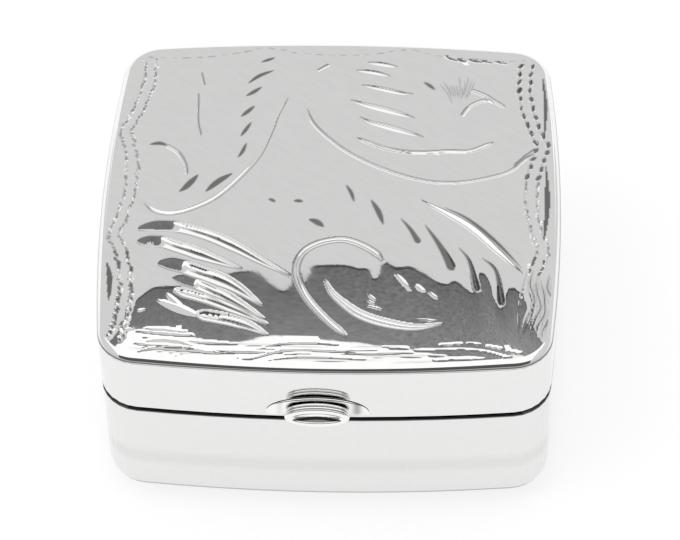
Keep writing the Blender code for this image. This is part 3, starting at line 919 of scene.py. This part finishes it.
def thumb_oval(material):
    """The oval button: a short neck, a moulded head, and a deep dish whose lower half is painted dark as shade."""
    turns = np.linspace(0, 2 * np.pi, OVAL_SIDES, endpoint=False)
    wall_y = -HALF_DEPTH

    def oval(half_width, half_height, stand_out):
        y = np.full(OVAL_SIDES, wall_y - stand_out)
        return np.column_stack([
            THUMB_CENTRE_X + half_width * np.cos(turns), y, BUTTON_CENTRE_Z + half_height * np.sin(turns)
        ])

    rings = [oval(NECK_HALF_WIDTH, NECK_HALF_HEIGHT, 0.36), oval(NECK_HALF_WIDTH, NECK_HALF_HEIGHT, 0.49)]
    rings += [oval(BUTTON_HALF_WIDTH - inset, BUTTON_HALF_HEIGHT - inset, out) for out, inset in MOULDING]
    edge_out, edge_inset = MOULDING[-1]
    across, up = BUTTON_HALF_WIDTH - edge_inset, BUTTON_HALF_HEIGHT - edge_inset
    for share in DISH_SHARES:
        rings.append(oval(across * share, up * share, edge_out - DISH_DEPTH * (1 - share**2)))
    points = np.concatenate(rings)
    piece = new_mesh("thumb_oval", points, ring_faces(len(rings), OVAL_SIDES), material)
    # Painted shade: the dish's lower half and the neck, and the moulding's grooves painted darker
    in_dish = np.repeat(np.arange(len(rings)) > len(MOULDING), OVAL_SIDES)
    sunk = edge_out - wall_y + points[:, 1]
    below = BUTTON_CENTRE_Z + DISH_SHADE_TOP - points[:, 2] - DISH_SHADE_SLOPE * sunk
    beside = DISH_SHADE_HALF_WIDTH - np.abs(points[:, 0] - THUMB_CENTRE_X)
    painted_shade_and_tarnish = np.where(in_dish, DISH_SHADE * np.clip(below / 0.05, 0, 1) * np.clip(beside / 0.1, 0, 1), 0)
    grooved = [NECK_SHADE, NECK_SHADE]
    grooved += [np.clip((inset - 0.09) * 12, 0, 1) if out < LAST_GROOVE else 0 for out, inset in MOULDING]
    painted_shade_and_tarnish[: len(grooved) * OVAL_SIDES] = np.repeat(grooved, OVAL_SIDES)
    add_attribute(piece.data, "painted_shade_and_tarnish", painted_shade_and_tarnish)
    return piece


def thumb_flange(material):
    """The thin half-oval flange behind the button, softly domed."""
    half_width = (PLATE_HIGH[0] - PLATE_LOW[0]) / 2
    low, top, tip = PLATE_LOW[2] + FLANGE_FOOT, PLATE_HIGH[2], PLATE_LOW[2] + FLANGE_TIP
    turns = np.linspace(math.pi, 0, 49)
    reach = half_width * np.cos(turns)
    arch = np.column_stack([reach, tip + (top - tip) * np.sin(turns)])
    foot = np.column_stack([half_width * np.linspace(1, -1, 25), np.full(25, low)])
    outline = np.concatenate([arch, foot])
    middle = np.array([0, low + 0.8])
    rings = []
    for share, out in FLANGE_DOME:
        flat = middle + (outline - middle) * share
        x = THUMB_CENTRE_X + flat[:, 0]
        wall = np.sqrt((BACK_RADIUS + out) ** 2 - x**2) + BACK_CENTRE[1]
        rings.append(np.column_stack([x, -wall, flat[:, 1]]))
    points = np.concatenate(rings)
    piece = new_mesh("thumb_flange", points, ring_faces(len(rings), len(outline)), material)
    # a painted reflection of the button on the flange beside it, heavier on its right
    across = points[:, 0] - THUMB_CENTRE_X
    reach = np.where(across > 0, 3.35, -3.2)
    near = np.exp(-(((across - reach) / np.where(across > 0, 0.38, 0.22)) ** 2))
    painted_button_reflection = near * np.where(across > 0, 0.6, 0.2) * np.clip((points[:, 2] - low) / 0.5, 0, 1)
    add_attribute(piece.data, "painted_shade_and_tarnish", painted_button_reflection)
    return piece


# ---- materials

# The dark colour that paints shade, and tarnish in the cuts, into the silver
SHADE_AND_TARNISH_COLOUR = (0.03, 0.03, 0.028, 1)
# In metres, as the shader takes them
WAVE_HEIGHT = 0.00002
SCRATCH_DEPTH = 0.000004


def principled(name, colour):
    material = bpy.data.materials.new(name)
    material.use_nodes = True
    tree = material.node_tree
    surface = tree.nodes["Principled BSDF"]
    surface.inputs["Base Color"].default_value = (*colour, 1)
    return material, tree, surface


def add_node(tree, kind, **inputs):
    """A shader node. Each input named here is linked to the socket given for it, or set to the value."""
    node = tree.nodes.new("ShaderNode" + kind)
    set_inputs(tree, node, inputs)
    return node


def set_inputs(tree, node, inputs):
    for name, value in inputs.items():
        socket = node.inputs[name.replace("_", " ")]
        if isinstance(value, bpy.types.NodeSocket):
            tree.links.new(value, socket)
        else:
            socket.default_value = value


def add_mix(tree, blend, **inputs):
    node = tree.nodes.new("ShaderNodeMix")
    node.data_type = "RGBA"
    node.blend_type = blend
    set_inputs(tree, node, inputs)
    return node.outputs["Result"]


def place_in_object(tree):
    return tree.nodes.new("ShaderNodeTexCoord").outputs["Object"]


def add_noise(tree, scale, detail, stretch=(1, 1, 1), turn=0.0):
    mapping = tree.nodes.new("ShaderNodeMapping")
    mapping.vector_type = "TEXTURE"
    across = [1 / share for share in stretch]
    set_inputs(tree, mapping, {"Vector": place_in_object(tree), "Scale": across, "Rotation": (0, 0, turn)})
    return add_node(tree, "TexNoise", Vector=mapping.outputs[0], Scale=scale, Detail=detail).outputs["Fac"]


def map_range(tree, value, low, high, to_low, to_high):
    return add_node(
        tree, "MapRange", Value=value, From_Min=low, From_Max=high, To_Min=to_low, To_Max=to_high
    ).outputs["Result"]


def add_bump(tree, height, distance, strength, **after):
    bump = add_node(tree, "Bump", Height=height, Distance=distance, Strength=strength, **after)
    return bump.outputs["Normal"]


def attribute(tree, name):
    node = tree.nodes.new("ShaderNodeAttribute")
    node.attribute_name = name
    return node.outputs["Fac"]


def tone_by_height(tree, stops):
    """A grey that changes with the height in the object's own frame, from (height, tone) stops."""
    split = add_node(tree, "SeparateXYZ", Vector=place_in_object(tree))
    low, high = stops[0][0], stops[1][0]
    share = map_range(tree, split.outputs["Z"], low * MM, high * MM, 0, 1)
    ramp = add_node(tree, "ValToRGB", Fac=share)
    for k, (height, tone) in enumerate(stops):
        at = (height - low) / (high - low)
        stop = ramp.color_ramp.elements[k] if k < 2 else ramp.color_ramp.elements.new(at)
        stop.position = at
        stop.color = (tone, tone, tone, 1)
    return ramp.outputs["Color"]


def silver(
    name, colour=(0.875, 0.875, 0.87), roughness=0.05, scratches=0.1, grain=0.985, waviness=0.2, heights=None,
    with_shade_and_tarnish=False,
):
    """Polished silver: soft changes of tone and gloss, a little waviness, and fine scratches two ways."""
    material, tree, surface = principled(name, colour)
    gloss = map_range(tree, add_noise(tree, 90, 3), 0.3, 0.7, roughness * 0.7, roughness * 1.5)
    ramp = add_node(tree, "ValToRGB", Fac=add_noise(tree, 2600, 4, (1, 0.2, 1), 0.9))
    dull, bright = ramp.color_ramp.elements
    dull.position = 0.3
    dull.color = (*(c * grain for c in colour), 1)
    bright.position = 0.6
    bright.color = (*colour, 1)
    base = ramp.outputs["Color"]
    # Painted shade by height, for the walls
    if heights:
        base = add_mix(tree, "MULTIPLY", A=base, B=tone_by_height(tree, heights), Factor=1.0)
    # Painted shade and tarnish, mixed in by the mesh's attribute
    if with_shade_and_tarnish:
        base = add_mix(tree, "MIX", A=base, B=SHADE_AND_TARNISH_COLOUR, Factor=attribute(tree, "painted_shade_and_tarnish"))
    wave = add_bump(tree, add_noise(tree, 60, 1), WAVE_HEIGHT, waviness)
    one_way = add_noise(tree, 900, 2, (1, 0.03, 1), 0.6)
    other_way = add_noise(tree, 1100, 2, (0.03, 1, 1), -0.3)
    one = add_bump(tree, one_way, SCRATCH_DEPTH, scratches, Normal=wave)
    both = add_bump(tree, other_way, SCRATCH_DEPTH, scratches, Normal=one)
    set_inputs(tree, surface, {"Base Color": base, "Roughness": gloss, "Normal": both, "Metallic": 1.0})
    return material


def lit_white(name, shade, glow):
    """The white table, lit a little from below as a light table is."""
    material, tree, surface = principled(name, (shade,) * 3)
    white = {"Roughness": 0.9, "Emission Color": (1, 1, 1, 1), "Emission Strength": glow}
    set_inputs(tree, surface, white)
    return material


# ---- studio


def glowing_card(name, mesh, strength):
    """A card that the silver reflects. The camera doesn't see it, and it lights nothing else.

    Its brightness is strength or, without one, the mesh's own glow with a fine grain.
    """
    piece = add_object(name, mesh)
    material = bpy.data.materials.new(name)
    material.use_nodes = True
    tree = material.node_tree
    tree.nodes.clear()
    if strength is None:
        grain = map_range(tree, add_noise(tree, 800, 2, (1, 0.2, 0.2)), 0.3, 0.7, 0.7, 1.3)
        both = tree.nodes.new("ShaderNodeMath")
        both.operation = "MULTIPLY"
        tree.links.new(attribute(tree, "glow"), both.inputs[0])
        tree.links.new(grain, both.inputs[1])
        strength = both.outputs[0]
    glow = add_node(tree, "Emission", Color=(1, 1, 1, 1), Strength=strength)
    add_node(tree, "OutputMaterial", Surface=glow.outputs[0])
    mesh.materials.append(material)
    piece.visible_camera = False
    piece.visible_shadow = False
    piece.visible_diffuse = False
    return piece


# Strips of the arch, from the back horizon (0 degrees) to the front one (180): low, high, brightness
LOW_STRIP = (1, 26, 1.1)
BLACK_STRIP = (140, 176, 0.1)
# The white strip, from the dark one's end: high, brightness
WHITE_STRIP = (140, 1.15)
# The dark strip's brightness, low and high on the left and high on the right, and its darker rim
DARK_SHADES = (0.17, 0.21, 0.42)
DARK_RIM = 0.3
DARK_RIM_STRENGTH = 0.068
CARD_ROWS = 9
KEY_PLACE = (-1.0, -0.3, 1.3)
KEY_SIZE = 1.2
KEY_POWER = 6.0
FLOOR_HALF_SIDE = 3.0
FLOOR_DROP = 0.00002
FLOOR_SHADE = 0.33
FLOOR_GLOW = 0.73
WORLD_STRENGTH = 0.72


def arc_card(name, low, high, strength, ends=(-ARCH_HALF_WIDTH, ARCH_HALF_WIDTH), shades=None):
    """A strip of the arch. Its low and high edges are elevations, or lists of places across with elevations.

    Given shades, it goes from the first along its low edge to the others at its high edge's two ends.
    """
    shaped = [edge for edge in (low, high) if isinstance(edge, tuple)]
    inner = {float(x) for edge in shaped for x in edge[0] if ends[0] < x < ends[1]}
    across = np.array(sorted({*ends, *inner}))
    first, last = (
        np.interp(across, *edge) if isinstance(edge, tuple) else np.full(len(across), edge)
        for edge in (low, high)
    )
    points, glows = [], []
    for k in range(CARD_ROWS):
        share = k / (CARD_ROWS - 1)
        angle = np.radians(first + (last - first) * share)
        points += list(zip(across, np.cos(angle) * ARCH_RADIUS, np.sin(angle) * ARCH_RADIUS + ARCH_Z))
        if shades:
            to_right = np.clip((across - across[0]) / (across[-1] - across[0]), 0, 1) ** 2
            glows += list(shades[0] + (shades[1] + (shades[2] - shades[1]) * to_right - shades[0]) * share)
    n = len(across)
    faces = [
        (k * n + i, k * n + i + 1, (k + 1) * n + i + 1, (k + 1) * n + i)
        for k in range(CARD_ROWS - 1)
        for i in range(n - 1)
    ]
    mesh = bpy.data.meshes.new(name)
    mesh.from_pydata([tuple(float(v) * MM for v in point) for point in points], [], faces)
    if shades:
        add_attribute(mesh, "glow", glows)
    glowing_card(name, mesh, strength)


def key_lamp():
    """A soft lamp aimed at the box, which the silver doesn't mirror."""
    light = bpy.data.lights.new("key", "AREA")
    light.shape = "SQUARE"
    light.size = KEY_SIZE
    light.energy = KEY_POWER
    lamp = add_object("key", light)
    turn = (-Vector(KEY_PLACE)).to_track_quat("-Z", "Y").to_matrix().to_4x4()
    lamp.matrix_world = Matrix.Translation(KEY_PLACE) @ turn
    lamp.visible_glossy = False


def studio():
    scene = bpy.context.scene
    scene.view_settings.view_transform = "Standard"
    scene.world = bpy.data.worlds.new("soft_studio")
    scene.world.use_nodes = True
    tree = scene.world.node_tree
    set_inputs(tree, tree.nodes["Background"], {"Color": (1, 1, 1, 1), "Strength": WORLD_STRENGTH})

    floor_mesh = bpy.data.meshes.new("floor")
    s = FLOOR_HALF_SIDE
    floor_mesh.from_pydata([(-s, -s, 0), (s, -s, 0), (s, s, 0), (-s, s, 0)], [], [(0, 1, 2, 3)])
    floor = add_object("floor", floor_mesh)
    floor.location.z = -FLOOR_DROP
    floor_mesh.materials.append(lit_white("floor_white", FLOOR_SHADE, FLOOR_GLOW))

    key_lamp()
    arc_card("low_strip", *LOW_STRIP)
    rim_ends = (BEGINS_AT[0], BEGINS_AT[1] + DARK_RIM)
    sides = tuple(float(mirrored(x, DARK_END_Y)[0]) for x in (DARK_LEFT_X, DARK_RIGHT_X))
    arc_card("dark_rim", BEGINS_AT, rim_ends, DARK_RIM_STRENGTH, sides)
    arc_card("dark_strip", rim_ends, ENDS_AT, None, sides, DARK_SHADES)
    arc_card("white_strip", ENDS_AT, *WHITE_STRIP)
    arc_card("black_strip", *BLACK_STRIP)


def camera():
    back = Vector(CAMERA_BACK)
    right = Vector((math.cos(CAMERA_AZIMUTH), math.sin(CAMERA_AZIMUTH), 0))
    up = back.cross(right)
    x = right * math.cos(CAMERA_ROLL) + up * math.sin(CAMERA_ROLL)
    y = up * math.cos(CAMERA_ROLL) - right * math.sin(CAMERA_ROLL)
    data = bpy.data.cameras.new("camera")
    data.sensor_width = SENSOR_WIDTH
    data.lens = LENS_LENGTH
    data.shift_x, data.shift_y = LENS_SHIFT
    data.clip_start = 0.01
    view = add_object("camera", data)
    view.matrix_world = Matrix.Translation(CAMERA_AT * MM) @ Matrix((x, y, back)).transposed().to_4x4()
    bpy.context.scene.camera = view


# ---- the object


def paint(node, material):
    for slot in NODES[node].material_slots:
        slot.material = material


# Painted shade on the walls by height, the two ends first: in the seam's gap, a faint mirrored floor shadow low
# down, and the shadow under the foot
BASE_WALL_SHADE_BY_HEIGHT = [
    (0, 0.75), (11.9, 0.04), (0.65, 0.7), (0.95, 0.22), (1.35, 0.26), (1.75, 1), (4.4, 1), (5.2, 0.93),
    (5.8, 0.93), (6.8, 1), (11.62, 1), (11.72, 0.12),
]
# The lid wall's painted shade by height, the two ends first, darkest at the seam
LID_WALL_SHADE_BY_HEIGHT = [(0.1, 0.04), (6, 1), (0.28, 0.12), (0.38, 1)]


def wall_silver(name, colour, tones):
    return silver(name, colour, roughness=0.03, scratches=0.02, waviness=0.05, heights=tones)


def main():
    # Both walls get painted shade by height; the base wall's silver is also a little darker than the lid wall's,
    # as painted shade for the nearer floor it mirrors
    lid_wall = wall_silver("lid_wall_silver", (0.82, 0.82, 0.815), LID_WALL_SHADE_BY_HEIGHT)
    base_wall = wall_silver("base_wall_silver", (0.805, 0.805, 0.8), BASE_WALL_SHADE_BY_HEIGHT)
    top = silver("engraved_silver", roughness=0.02, scratches=0.12, grain=0.965, with_shade_and_tarnish=True)
    satin = silver("satin_silver", (0.88, 0.88, 0.87), 0.28, 0.4)
    barrel = silver("barrel_silver", (0.88, 0.88, 0.87), 0.14, 0.2)
    pin = silver("pin_silver", (0.75, 0.75, 0.74), 0.22, 0.3)
    thumb = silver("thumb_silver", (0.92, 0.92, 0.91), 0.07, 0.08, with_shade_and_tarnish=True)

    for piece, node, slot in (
        (engraved_top(top), "lid_top_panel", "engraved_silver"),
        (thumb_oval(thumb), "thumb_button", "thumbpiece_silver"),
        (thumb_flange(thumb), "thumb_plate", "thumbpiece_silver"),
    ):
        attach(piece, "lid")
        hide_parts(node)

    paint("base_tray", base_wall)
    paint("lid_band", lid_wall)
    for node in ("base_bezel", "base_hinge_bearer", "lid_hinge_bearer"):
        paint(node, satin)
    for node in NODES:
        if "knuckle" in node:
            paint(node, barrel)
    paint("hinge_pin", pin)

    studio()
    camera()


main()
